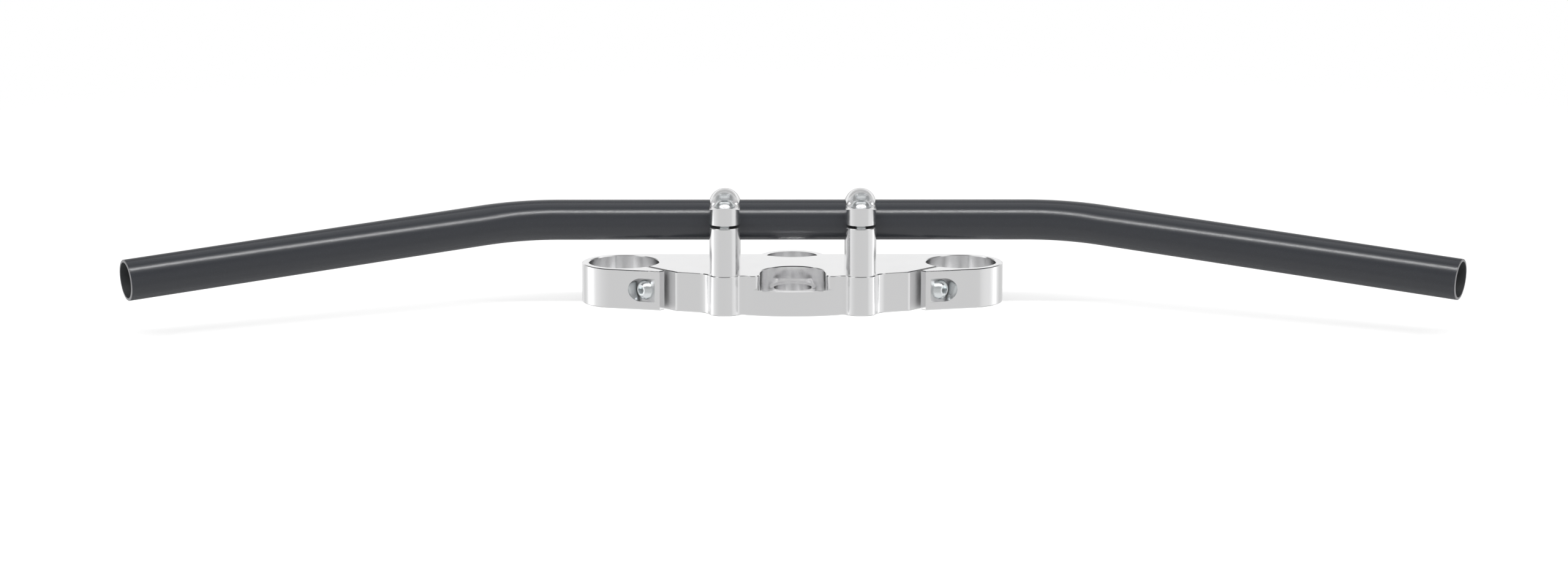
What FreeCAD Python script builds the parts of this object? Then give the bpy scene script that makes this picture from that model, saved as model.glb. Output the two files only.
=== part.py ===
"""Drag bar handlebar clamped in two risers on a machined top yoke.

Frame, in millimetres: the origin is on the steering stem's axis at the yoke's
underside, +X is the rider's right, +Y is forward and +Z is up.
"""
import FreeCAD
import Part
import Sketcher
import math
import os

Vector = FreeCAD.Vector

# Driving dimensions: one named value each, in millimetres or degrees.
SIZES = {
    # Top yoke
    "yoke_thickness": 22.0,
    "edge_break": 0.45,
    "fork_spacing": 187.6,
    "fork_forward": 31.3,
    "fork_bore": 39.0,
    "fork_wall": 3.8,
    "front_reach": 15.7,
    "front_radius": 70.0,
    "valley_radius": 4.0,
    "boss_margin": 0.45,
    "flank_radius": 8.0,
    "flank_angle": 18.0,
    # Fork clamp ears
    "ear_angle": 14.0,
    "ear_length": 26.9,
    "ear_tip_angle": 131.0,
    "slit_angle": 47.0,
    "slit_width": 2.0,
    "lip_reach": 41.8,
    "lip_radius": 3.6,
    "pinch_reach": 26.5,
    "pinch_seat": 6.4,
    "pinch_pocket_margin": 1.0,
    # Stem seat
    "stem_bore": 21.0,
    "ledge_bore": 26.2,
    "ledge_depth": 0.75,
    "recess_bore": 36.0,
    "recess_depth": 7.75,
    "notch_radius": 4.0,
    "notch_bevel_run": 0.95,
    "notch_bevel_rise": 0.55,
    # Ignition lock ring
    "lock_forward": 66.3,
    "lock_bore": 28.8,
    "lock_wall": 4.0,
    "lock_step": 3.4,
    "lock_step_margin": 2.6,
    "lock_fillet": 8.0,
    # Handlebar
    "bar_outside": 22.2,
    "bar_wall": 1.7,
    "bar_vertex": 150.3,
    "bar_arm": 225.2,
    "bar_sweep_angle": 24.6,
    "bar_bend_radius": 100.0,
    "bar_roll_angle": 9.9,
    "bar_forward": 10.8,
    "bar_height": 27.45,
    "bar_end_break": 0.3,
    # Risers and clamp caps
    "riser_spacing": 74.7,
    "riser_width": 16.9,
    "riser_foot_break": 0.15,
    "riser_split": 1.0,
    "cap_split": 0.6,
    "cap_split_break": 0.2,
    "clamp_clearance": 0.05,
    "cap_screw_reach": 17.0,
    "cap_seat": 9.8,
    "cap_ridge": 17.5,
    "cap_vault_radius": 8.7,
    "cap_wall_radius": 12.0,
    "cap_crown": 10.7,
    "cap_crown_radius": 18.5,
    "cap_spotface_margin": 0.35,
    "tapped_spare": 3.0,
    # Button-head screws of the caps and the pinch clamps
    "screw_shank": 6.0,
    "screw_head": 11.0,
    "screw_head_dome": 3.0,
    "screw_head_top": 6.1,
    "screw_socket": 4.0,
    "screw_socket_depth": 2.1,
    "screw_tip_chamfer": 0.7,
    "screw_clearance": 0.15,
    "cap_screw_length": 25.0,
    "cap_screw_rim": 0.5,
    "pinch_screw_length": 20.0,
    "pinch_screw_rim": 1.5,
    # Socket screws and washers under the risers
    "riser_screw_shank": 8.0,
    "riser_screw_head": 13.0,
    "riser_screw_head_height": 8.0,
    "riser_screw_socket": 6.0,
    "riser_screw_socket_depth": 4.0,
    "riser_screw_length": 25.0,
    "riser_screw_recess": 0.6,
    "washer_outside": 16.0,
    "washer_thickness": 1.6,
    "washer_margin": 0.5,
}

# Places that several pieces share, worked out from the sizes.
FORK_RING = "sizes.fork_bore / 2 + sizes.fork_wall"
BAR_Z = "sizes.yoke_thickness + sizes.bar_height"
RISER_X = "sizes.riser_spacing / 2"
CLAMP_BORE = "sizes.bar_outside + 2 * sizes.clamp_clearance"
SCREW_HOLE = "sizes.screw_shank + 2 * sizes.screw_clearance"
RISER_SCREW_HOLE = "sizes.riser_screw_shank + 2 * sizes.screw_clearance"
PINCH_POCKET = "(sizes.screw_head + 2 * sizes.pinch_pocket_margin)"
CAP_HOLE_DEPTH = (
    "sizes.cap_screw_length - sizes.cap_seat"
    " - sizes.riser_split + sizes.tapped_spare"
)
RISER_SCREW_SEAT = "sizes.riser_screw_recess + sizes.riser_screw_head_height"
RISER_HOLE_DEPTH = (
    f"sizes.riser_screw_length + {RISER_SCREW_SEAT}"
    " - sizes.yoke_thickness + sizes.screw_tip_chamfer"
)

# How far apart two places may be and still count as the same, in millimetres.
TOLERANCE = 1e-3

SIDES = {"left": -1, "right": 1}
ROWS = {"front": 1, "rear": -1}

doc = FreeCAD.newDocument("drag_bar_handlebar")
sheet = doc.addObject("Spreadsheet::Sheet", "sizes")
for row, (alias, number) in enumerate(SIZES.items(), start=1):
    sheet.set(f"A{row}", alias)
    sheet.set(f"B{row}", str(number))
    sheet.setAlias(f"B{row}", alias)
doc.recompute()


def value(expression):
    """The number that an expression on the sheet gives."""
    return float(sheet.evalExpression(expression))


def new_body(label):
    body = doc.addObject("PartDesign::Body", label)
    body.Label = label
    return body


def place(body, x="0", y="0", z="0", turn="rotationz(0)"):
    """Bind a body's placement to the sheet."""
    body.setExpression("Placement", f"placement(vector({x}; {y}; {z}); {turn})")


def origin_feature(body, role):
    for feature in body.Origin.OriginFeatures:
        if feature.Role == role:
            return feature
    raise ValueError(role)


def new_sketch(body, name, plane, height=None):
    """A sketch on one of the body's origin planes, raised along its normal."""
    sketch = body.newObject("Sketcher::SketchObject", name)
    sketch.AttachmentSupport = [(origin_feature(body, plane), "")]
    sketch.MapMode = "FlatFace"
    if height:
        sketch.setExpression("AttachmentOffset.Base.z", height)
    return sketch


def constrain(sketch, kind, *references):
    sketch.addConstraint(Sketcher.Constraint(kind, *references))


def dimension(sketch, expression, kind, *references):
    """Add a dimension whose number comes from the sheet."""
    number = value(expression)
    if kind == "Angle":
        number = math.radians(number)
    index = sketch.addConstraint(Sketcher.Constraint(kind, *references, number))
    sketch.setExpression(f"Constraints[{index}]", expression)


def add_line(sketch, start, end):
    return sketch.addGeometry(Part.LineSegment(start, end))


def add_arc(sketch, centre, radius, first, last):
    """An anticlockwise arc about a centre from one direction to another."""
    circle = Part.Circle(centre, Vector(0, 0, 1), radius)
    angles = [math.atan2(point.y - centre.y, point.x - centre.x) for point in (first, last)]
    return sketch.addGeometry(Part.ArcOfCircle(circle, *angles))


def fix_point(sketch, element, position, x=None, y=None):
    """Hold a point at a place given from the sketch's origin."""
    for kind, expression, axis in (("DistanceX", x, -2), ("DistanceY", y, -1)):
        if expression is None:
            constrain(sketch, "PointOnObject", element, position, axis)
        elif value(expression) < 0:
            dimension(sketch, f"-({expression})", kind, element, position, -1, 1)
        else:
            dimension(sketch, expression, kind, -1, 1, element, position)


def draw_circle(sketch, diameter, x=None, y=None):
    centre = Vector(value(x or "0"), value(y or "0"), 0)
    circle = sketch.addGeometry(Part.Circle(centre, Vector(0, 0, 1), value(diameter) / 2))
    dimension(sketch, diameter, "Diameter", circle)
    fix_point(sketch, circle, 3, x, y)


def draw_stadium(sketch, reach, width):
    """Two half rounds at plus and minus reach along the sketch's V axis."""
    far = value(reach)
    half = value(width) / 2
    corners = [Vector(half, -far), Vector(half, far), Vector(-half, far), Vector(-half, -far)]
    right = add_line(sketch, corners[0], corners[1])
    top = add_arc(sketch, Vector(0, far), half, corners[1], corners[2])
    left = add_line(sketch, corners[2], corners[3])
    bottom = add_arc(sketch, Vector(0, -far), half, corners[3], corners[0])
    for one, other in ((right, top), (top, left), (left, bottom), (bottom, right)):
        constrain(sketch, "Tangent", one, 2, other, 1)
    fix_point(sketch, top, 3, None, reach)
    fix_point(sketch, bottom, 3, None, f"-({reach})")
    dimension(sketch, width, "Diameter", top)


def draw_hexagon(sketch, flats):
    """A regular hexagon about the sketch's origin, given across its flats."""
    radius = value(flats) / math.sqrt(3)
    circle = sketch.addGeometry(Part.Circle(Vector(0, 0), Vector(0, 0, 1), radius), True)
    constrain(sketch, "Coincident", circle, 3, -1, 1)
    corners = []
    for step in range(6):
        angle = math.radians(60 * step)
        corners.append(Vector(radius * math.cos(angle), radius * math.sin(angle)))
    sides = [add_line(sketch, corners[step], corners[(step + 1) % 6]) for step in range(6)]
    for step in range(6):
        constrain(sketch, "Coincident", sides[step], 2, sides[(step + 1) % 6], 1)
        constrain(sketch, "PointOnObject", sides[step], 1, circle)
    for step in range(5):
        constrain(sketch, "Equal", sides[step], sides[step + 1])
    constrain(sketch, "PointOnObject", sides[0], 1, -1)
    dimension(sketch, f"{flats} / sqrt(3)", "Radius", circle)


def draw_polygon(sketch, points):
    """A closed outline of straight lines through points given as expressions."""
    corners = [Vector(value(x), value(y)) for x, y in points]
    count = len(corners)
    lines = [add_line(sketch, corners[n], corners[(n + 1) % count]) for n in range(count)]
    for n in range(count):
        constrain(sketch, "Coincident", lines[n], 2, lines[(n + 1) % count], 1)
    for line, (x, y) in zip(lines, points):
        fix_point(sketch, line, 1, None if x == "0" else x, None if y == "0" else y)
    return lines


def pad(body, sketch, length):
    feature = body.newObject("PartDesign::Pad", f"{sketch.Name}_pad")
    feature.Profile = sketch
    feature.setExpression("Length", length)
    return feature


def pocket(body, sketch, depth=None, upward=False, both_ways=False):
    """Cut a sketch into the body, to a depth or right through."""
    feature = body.newObject("PartDesign::Pocket", f"{sketch.Name}_cut")
    feature.Profile = sketch
    if depth:
        feature.setExpression("Length", depth)
    else:
        feature.Type = "ThroughAll"
    feature.Reversed = upward
    feature.Midplane = both_ways
    doc.recompute()
    if feature.Shape.Volume >= feature.BaseFeature.Shape.Volume:
        raise ValueError(f"{feature.Name} cuts nothing")
    return feature


def hole(body, name, diameter, x=None, y=None, plane="XY_Plane", height=None, depth=None,
         upward=False, both_ways=False):
    """A round cut whose centre is given on an origin plane."""
    sketch = new_sketch(body, name, plane, height)
    draw_circle(sketch, diameter, x, y)
    return pocket(body, sketch, depth, upward, both_ways)


def revolve(body, sketch):
    feature = body.newObject("PartDesign::Revolution", f"{sketch.Name}_turned")
    feature.Profile = sketch
    feature.ReferenceAxis = (sketch, ["V_Axis"])
    feature.Angle = 360
    return feature


def chamfer(body, name, chosen, width):
    """Break the edges of the body's tip that a test chooses."""
    doc.recompute()
    base = body.Tip
    edges = [f"Edge{n}" for n, edge in enumerate(base.Shape.Edges, start=1) if chosen(edge)]
    if not edges:
        raise ValueError(f"{name} finds no edge")
    feature = body.newObject("PartDesign::Chamfer", name)
    feature.Base = (base, edges)
    feature.setExpression("Size", width)
    doc.recompute()
    return feature


def lies_at_height(edge, height):
    box = edge.BoundBox
    return abs(box.ZMin - height) < TOLERANCE and abs(box.ZMax - height) < TOLERANCE


# Top yoke


def slit_frame():
    """Fork centre, slit direction and ear-side normal of the right clamp, in plan."""
    angle = math.radians(value("sizes.slit_angle"))
    fork = Vector(value("sizes.fork_spacing / 2"), value("sizes.fork_forward"))
    along = Vector(-math.cos(angle), -math.sin(angle))
    outward = Vector(math.sin(angle), -math.cos(angle))
    return fork, along, outward


def circle_meeting(first, first_radius, second, second_radius, side):
    """The point at the two radii from two centres, on one side of their line."""
    link = second - first
    reach = link.Length
    along = (first_radius ** 2 - second_radius ** 2 + reach ** 2) / (2 * reach)
    across = math.sqrt(first_radius ** 2 - along ** 2)
    unit = link / reach
    return first + unit * along + Vector(-unit.y, unit.x) * across * side


def draw_yoke_half(sketch):
    """The right half of the yoke's plan, traced clockwise from its front middle."""
    fork, along, outward = slit_frame()
    ring = value(FORK_RING)
    half_slit = value("sizes.slit_width / 2")
    root = value("sizes.fork_bore / 4")
    ear_angle = math.radians(value("sizes.ear_angle"))
    flank_angle = math.radians(value("sizes.flank_angle"))
    ear_normal = Vector(math.sin(ear_angle), -math.cos(ear_angle))
    ear_along = Vector(-math.cos(ear_angle), -math.sin(ear_angle))
    flank_normal = Vector(math.sin(flank_angle), -math.cos(flank_angle))
    flank_along = Vector(-math.cos(flank_angle), -math.sin(flank_angle))

    # Straight stretches: the back edge, the ear and the two faces of the slit.
    front_middle = Vector(0, -value("sizes.front_reach"))
    back_middle = Vector(0, fork.y + ring)
    back_end = Vector(fork.x, fork.y + ring)
    ear_start = fork + ear_normal * ring
    ear_end = ear_start + ear_along * value("sizes.ear_length")
    tip_angle = math.radians(value("sizes.ear_tip_angle"))
    tip_along = Vector(math.cos(tip_angle), math.sin(tip_angle))
    tip_length = (half_slit - (ear_end - fork).dot(outward)) / tip_along.dot(outward)
    ear_inner = ear_end + tip_along * tip_length
    slit_outer_root = fork + outward * half_slit + along * root
    slit_inner_root = fork - outward * half_slit + along * root
    lip_start = fork - outward * half_slit + along * value("sizes.lip_reach")

    # Round stretches, from the slit's lip to the front middle.
    lip_radius = value("sizes.lip_radius")
    lip_centre = lip_start - outward * lip_radius
    flank_start = lip_centre + flank_normal * lip_radius
    boss = Vector(value(RISER_X), value("sizes.bar_forward - sizes.cap_screw_reach"))
    boss_radius = value("sizes.riser_width / 2 + sizes.boss_margin")
    flank_radius = value("sizes.flank_radius")
    offset = flank_start + flank_normal * flank_radius - boss
    middle = offset.dot(flank_along)
    spread = (boss_radius + flank_radius) ** 2 - offset.dot(offset) + middle ** 2
    flank_end = flank_start + flank_along * (-middle - math.sqrt(spread))
    flank_centre = flank_end + flank_normal * flank_radius
    front_radius = value("sizes.front_radius")
    front_centre = front_middle + Vector(0, front_radius)
    valley_radius = value("sizes.valley_radius")
    valley_centre = circle_meeting(
        front_centre, front_radius + valley_radius, boss, boss_radius + valley_radius, -1)
    boss_start = boss + (flank_centre - boss).normalize() * boss_radius
    boss_end = boss + (valley_centre - boss).normalize() * boss_radius
    front_start = front_centre + (valley_centre - front_centre).normalize() * front_radius

    middle_line = add_line(sketch, front_middle, back_middle)
    back = add_line(sketch, back_middle, back_end)
    ring_arc = add_arc(sketch, fork, ring, ear_start, back_end)
    ear_front = add_line(sketch, ear_start, ear_end)
    ear_tip = add_line(sketch, ear_end, ear_inner)
    ear_slit = add_line(sketch, ear_inner, slit_outer_root)
    slit_root = add_line(sketch, slit_outer_root, slit_inner_root)
    plate_slit = add_line(sketch, slit_inner_root, lip_start)
    lip = add_arc(sketch, lip_centre, lip_radius, flank_start, lip_start)
    flank = add_line(sketch, flank_start, flank_end)
    flank_arc = add_arc(sketch, flank_centre, flank_radius, flank_end, boss_start)
    boss_arc = add_arc(sketch, boss, boss_radius, boss_end, boss_start)
    valley = add_arc(sketch, valley_centre, valley_radius, boss_end, front_start)
    front_arc = add_arc(sketch, front_centre, front_radius, front_middle, front_start)

    for one, one_end, other, other_end in (
            (middle_line, 2, back, 1), (ear_front, 2, ear_tip, 1), (ear_tip, 2, ear_slit, 1),
            (ear_slit, 2, slit_root, 1), (slit_root, 2, plate_slit, 1), (front_arc, 1, middle_line, 1)):
        constrain(sketch, "Coincident", one, one_end, other, other_end)
    for one, one_end, other, other_end in (
            (back, 2, ring_arc, 2), (ring_arc, 1, ear_front, 1), (plate_slit, 2, lip, 2),
            (lip, 1, flank, 1), (flank, 2, flank_arc, 1), (flank_arc, 2, boss_arc, 2),
            (boss_arc, 1, valley, 1), (valley, 2, front_arc, 2)):
        constrain(sketch, "Tangent", one, one_end, other, other_end)

    constrain(sketch, "PointOnObject", middle_line, 2, -2)
    constrain(sketch, "Horizontal", back)
    constrain(sketch, "Parallel", ear_slit, plate_slit)
    constrain(sketch, "Perpendicular", slit_root, plate_slit)
    fix_point(sketch, middle_line, 1, None, "-sizes.front_reach")
    constrain(sketch, "PointOnObject", front_arc, 3, -2)
    fix_point(sketch, ring_arc, 3, "sizes.fork_spacing / 2", "sizes.fork_forward")
    fix_point(sketch, boss_arc, 3, RISER_X, "sizes.bar_forward - sizes.cap_screw_reach")
    dimension(sketch, FORK_RING, "Radius", ring_arc)
    dimension(sketch, "sizes.ear_angle - 180", "Angle", ear_front)
    dimension(sketch, "sizes.ear_length", "Distance", ear_front)
    dimension(sketch, "sizes.ear_tip_angle", "Angle", ear_tip)
    dimension(sketch, "sizes.slit_angle - 180", "Angle", plate_slit)
    dimension(sketch, "sizes.slit_width / 2", "Distance", ring_arc, 3, ear_slit)
    dimension(sketch, "sizes.slit_width / 2", "Distance", ring_arc, 3, plate_slit)
    dimension(sketch, "sizes.fork_bore / 4", "Distance", ring_arc, 3, slit_root)
    dimension(sketch, "sizes.lip_reach - sizes.fork_bore / 4", "Distance", plate_slit)
    dimension(sketch, "sizes.lip_radius", "Radius", lip)
    dimension(sketch, "sizes.flank_angle - 180", "Angle", flank)
    dimension(sketch, "sizes.flank_radius", "Radius", flank_arc)
    dimension(sketch, "sizes.riser_width / 2 + sizes.boss_margin", "Radius", boss_arc)
    dimension(sketch, "sizes.valley_radius", "Radius", valley)
    dimension(sketch, "sizes.front_radius", "Radius", front_arc)


def pinch_sketch(body, name, seat):
    """A sketch across the right pinch screw: X runs out along the slit, Y is up."""
    sketch = new_sketch(body, name, "XZ_Plane")
    sketch.AttachmentOffset = FreeCAD.Placement(Vector(), FreeCAD.Rotation(Vector(0, 1, 0), 0))
    sketch.setExpression("AttachmentOffset.Rotation.Angle", "180 + sizes.slit_angle")
    sketch.setExpression(
        "AttachmentOffset.Base.x", f"sizes.fork_spacing / 2 + ({seat}) * sin(sizes.slit_angle)")
    sketch.setExpression("AttachmentOffset.Base.y", "sizes.yoke_thickness / 2")
    sketch.setExpression(
        "AttachmentOffset.Base.z", f"({seat}) * cos(sizes.slit_angle) - sizes.fork_forward")
    return sketch


def draw_pinch_pocket(sketch):
    """A slot end round the screw's head that runs out through the ear's face."""
    half = value(f"{PINCH_POCKET} / 2")
    near = value("sizes.pinch_reach")
    far = value("sizes.pinch_reach + sizes.ear_length")
    end = add_arc(sketch, Vector(near, 0), half, Vector(near, half), Vector(near, -half))
    bottom = add_line(sketch, Vector(near, -half), Vector(far, -half))
    mouth = add_line(sketch, Vector(far, -half), Vector(far, half))
    top = add_line(sketch, Vector(far, half), Vector(near, half))
    constrain(sketch, "Tangent", end, 2, bottom, 1)
    constrain(sketch, "Coincident", bottom, 2, mouth, 1)
    constrain(sketch, "Coincident", mouth, 2, top, 1)
    constrain(sketch, "Tangent", top, 2, end, 1)
    constrain(sketch, "Horizontal", bottom)
    constrain(sketch, "Vertical", mouth)
    fix_point(sketch, end, 3, "sizes.pinch_reach", None)
    dimension(sketch, f"{PINCH_POCKET} / 2", "Radius", end)
    dimension(sketch, "sizes.ear_length", "Distance", bottom)


def draw_stem_notch(sketch):
    """The way into the stem recess: straight sides that flare into the front face."""
    flare_x = "(sizes.recess_bore / 2 + sizes.notch_radius)"
    flare_y = ("(sizes.front_radius - sizes.front_reach"
               f" - sqrt((sizes.front_radius - sizes.notch_radius)^2 - {flare_x}^2))")
    mouth_x = f"({flare_x} * sizes.front_radius / (sizes.front_radius - sizes.notch_radius))"
    radius = value("sizes.recess_bore / 2")
    flare = value("sizes.notch_radius")
    centre = Vector(value(flare_x), value(flare_y))
    front_centre = Vector(0, value("sizes.front_radius - sizes.front_reach"))
    mouth = centre + (centre - front_centre).normalize() * flare
    open_y = -2 * value("sizes.front_reach")

    back = add_line(sketch, Vector(radius, 0), Vector(-radius, 0))
    left = add_line(sketch, Vector(-radius, 0), Vector(-radius, centre.y))
    left_flare = add_arc(
        sketch, Vector(-centre.x, centre.y), flare, Vector(-mouth.x, mouth.y), Vector(-radius, centre.y))
    left_out = add_line(sketch, Vector(-mouth.x, mouth.y), Vector(-mouth.x, open_y))
    outside = add_line(sketch, Vector(-mouth.x, open_y), Vector(mouth.x, open_y))
    right_out = add_line(sketch, Vector(mouth.x, open_y), mouth)
    right_flare = add_arc(sketch, centre, flare, Vector(radius, centre.y), mouth)
    right = add_line(sketch, Vector(radius, centre.y), Vector(radius, 0))
    constrain(sketch, "Tangent", left, 2, left_flare, 2)
    constrain(sketch, "Tangent", right_flare, 1, right, 1)
    for one, one_end, other, other_end in (
            (back, 2, left, 1), (left_flare, 1, left_out, 1), (left_out, 2, outside, 1),
            (outside, 2, right_out, 1), (right_out, 2, right_flare, 2), (right, 2, back, 1)):
        constrain(sketch, "Coincident", one, one_end, other, other_end)
    for line in (left, left_out, right_out, right):
        constrain(sketch, "Vertical", line)
    constrain(sketch, "Horizontal", outside)
    fix_point(sketch, back, 1, "sizes.recess_bore / 2", None)
    fix_point(sketch, back, 2, "-sizes.recess_bore / 2", None)
    dimension(sketch, "2 * sizes.front_reach", "DistanceY", outside, 1, -1, 1)
    dimension(sketch, mouth_x, "DistanceX", left_flare, 1, -1, 1)
    dimension(sketch, mouth_x, "DistanceX", -1, 1, right_flare, 2)
    for flare_arc in (left_flare, right_flare):
        dimension(sketch, "sizes.notch_radius", "Radius", flare_arc)
        dimension(sketch, f"-{flare_y}", "DistanceY", flare_arc, 3, -1, 1)


def draw_lock_ring(sketch):
    """The lock ring's plan: a round end joined to the plate's back edge by fillets."""
    centre = Vector(0, value("sizes.lock_forward"))
    ring = value("sizes.lock_bore / 2 + sizes.lock_wall")
    fillet = value("sizes.lock_fillet")
    back_y = value(f"sizes.fork_forward + {FORK_RING}")
    base_y = value("sizes.fork_forward")
    fillet_y = back_y + fillet
    fillet_x = math.sqrt((ring + fillet) ** 2 - (fillet_y - centre.y) ** 2)
    touch = centre + (Vector(fillet_x, fillet_y) - centre).normalize() * ring
    mirror_touch = Vector(-touch.x, touch.y)
    crown = add_arc(sketch, centre, ring, touch, mirror_touch)
    left_fillet = add_arc(
        sketch, Vector(-fillet_x, fillet_y), fillet, Vector(-fillet_x, back_y), mirror_touch)
    left = add_line(sketch, Vector(-fillet_x, back_y), Vector(-fillet_x, base_y))
    base = add_line(sketch, Vector(-fillet_x, base_y), Vector(fillet_x, base_y))
    right = add_line(sketch, Vector(fillet_x, base_y), Vector(fillet_x, back_y))
    right_fillet = add_arc(
        sketch, Vector(fillet_x, fillet_y), fillet, touch, Vector(fillet_x, back_y))
    constrain(sketch, "Tangent", crown, 2, left_fillet, 2)
    constrain(sketch, "Tangent", crown, 1, right_fillet, 1)
    for one, one_end, other, other_end in (
            (left_fillet, 1, left, 1), (left, 2, base, 1), (base, 2, right, 1), (right, 2, right_fillet, 2)):
        constrain(sketch, "Coincident", one, one_end, other, other_end)
    constrain(sketch, "Vertical", left)
    constrain(sketch, "Vertical", right)
    constrain(sketch, "Horizontal", base)
    fix_point(sketch, crown, 3, None, "sizes.lock_forward")
    dimension(sketch, "sizes.lock_bore / 2 + sizes.lock_wall", "Radius", crown)
    for arc, end in ((left_fillet, 1), (right_fillet, 2)):
        dimension(sketch, "sizes.lock_fillet", "Radius", arc)
        constrain(sketch, "Vertical", arc, 3, arc, end)
        dimension(sketch, f"sizes.fork_forward + {FORK_RING}", "DistanceY", -1, 1, arc, end)
    dimension(sketch, "sizes.fork_forward", "DistanceY", -1, 1, base, 1)


def cut_notch_sill(body):
    """Bevel the notch's front sill, turned about the axis of the curved front face."""
    sketch = new_sketch(body, "notch_sill", "YZ_Plane")
    axis_y = "sizes.front_radius - sizes.front_reach"
    floor = "sizes.yoke_thickness - sizes.recess_depth"
    axis = add_line(sketch, Vector(value(axis_y), 0), Vector(value(axis_y), value(floor)))
    sketch.setConstruction(axis, True)
    fix_point(sketch, axis, 1, axis_y, None)
    fix_point(sketch, axis, 2, axis_y, floor)
    draw_polygon(sketch, [
        ("sizes.notch_bevel_run - sizes.front_reach", floor),
        ("-sizes.front_reach - sizes.notch_bevel_run", f"{floor} + sizes.notch_bevel_rise"),
        ("-sizes.front_reach", f"{floor} - sizes.notch_bevel_rise"),
    ])
    groove = body.newObject("PartDesign::Groove", "notch_sill_cut")
    groove.Profile = sketch
    groove.ReferenceAxis = (sketch, ["Axis0"])
    groove.Midplane = True
    groove.setExpression(
        "Angle", "2 * asin((sizes.recess_bore / 2 - sizes.notch_bevel_run) / sizes.front_radius)")
    doc.recompute()
    if groove.Shape.Volume >= groove.BaseFeature.Shape.Volume:
        raise ValueError("notch_sill_cut cuts nothing")


def make_top_yoke():
    """Plate with two slit fork clamps, riser bosses, stem seat and lock ring."""
    body = new_body("top_yoke")
    outline = new_sketch(body, "yoke_half", "XY_Plane")
    draw_yoke_half(outline)
    pad(body, outline, "sizes.yoke_thickness")
    hole(body, "fork_hole", "sizes.fork_bore", "sizes.fork_spacing / 2", "sizes.fork_forward", upward=True)

    ear_pocket = pinch_sketch(body, "pinch_pocket", "sizes.pinch_seat")
    draw_pinch_pocket(ear_pocket)
    pocket(body, ear_pocket, "2 * sizes.pinch_seat + sizes.fork_wall + sizes.ear_length")
    screw_way = pinch_sketch(body, "pinch_hole", "sizes.pinch_seat")
    draw_circle(screw_way, SCREW_HOLE, "sizes.pinch_reach", None)
    pocket(body, screw_way, "sizes.pinch_screw_length + sizes.tapped_spare", upward=True)

    hole(body, "riser_screw_way", RISER_SCREW_HOLE, RISER_X, "sizes.bar_forward", upward=True)
    hole(body, "riser_counterbore", "sizes.washer_outside + 2 * sizes.washer_margin", RISER_X,
         "sizes.bar_forward", depth=f"{RISER_SCREW_SEAT} + sizes.washer_thickness", upward=True)

    doc.recompute()
    whole = body.newObject("PartDesign::Mirrored", "yoke_whole")
    whole.TransformMode = "Whole shape"
    whole.MirrorPlane = (origin_feature(body, "YZ_Plane"), [""])
    body.Tip = whole
    doc.recompute()

    ring = new_sketch(body, "lock_ring", "XY_Plane")
    draw_lock_ring(ring)
    pad(body, ring, "sizes.yoke_thickness - sizes.lock_step")
    hole(body, "lock_step_cut", "sizes.lock_bore + 2 * (sizes.lock_wall + sizes.lock_step_margin)",
         None, "sizes.lock_forward", height="sizes.yoke_thickness", depth="sizes.lock_step")
    hole(body, "lock_hole", "sizes.lock_bore", None, "sizes.lock_forward", upward=True)

    hole(body, "stem_recess", "sizes.recess_bore", height="sizes.yoke_thickness", depth="sizes.recess_depth")
    notch = new_sketch(body, "stem_notch", "XY_Plane", "sizes.yoke_thickness")
    draw_stem_notch(notch)
    pocket(body, notch, "sizes.recess_depth")
    hole(body, "stem_ledge", "sizes.ledge_bore", height="sizes.yoke_thickness - sizes.recess_depth",
         depth="sizes.ledge_depth")
    hole(body, "stem_hole", "sizes.stem_bore", upward=True)

    cut_notch_sill(body)
    thickness = value("sizes.yoke_thickness")

    def face_rim(edge):
        stem_rim = isinstance(edge.Curve, Part.Circle) and edge.Curve.Center.isEqual(Vector(), TOLERANCE)
        at_face = lies_at_height(edge, 0) or lies_at_height(edge, thickness)
        return at_face and not stem_rim

    chamfer(body, "yoke_rims", face_rim, "sizes.edge_break")
    return body


# Handlebar


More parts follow.
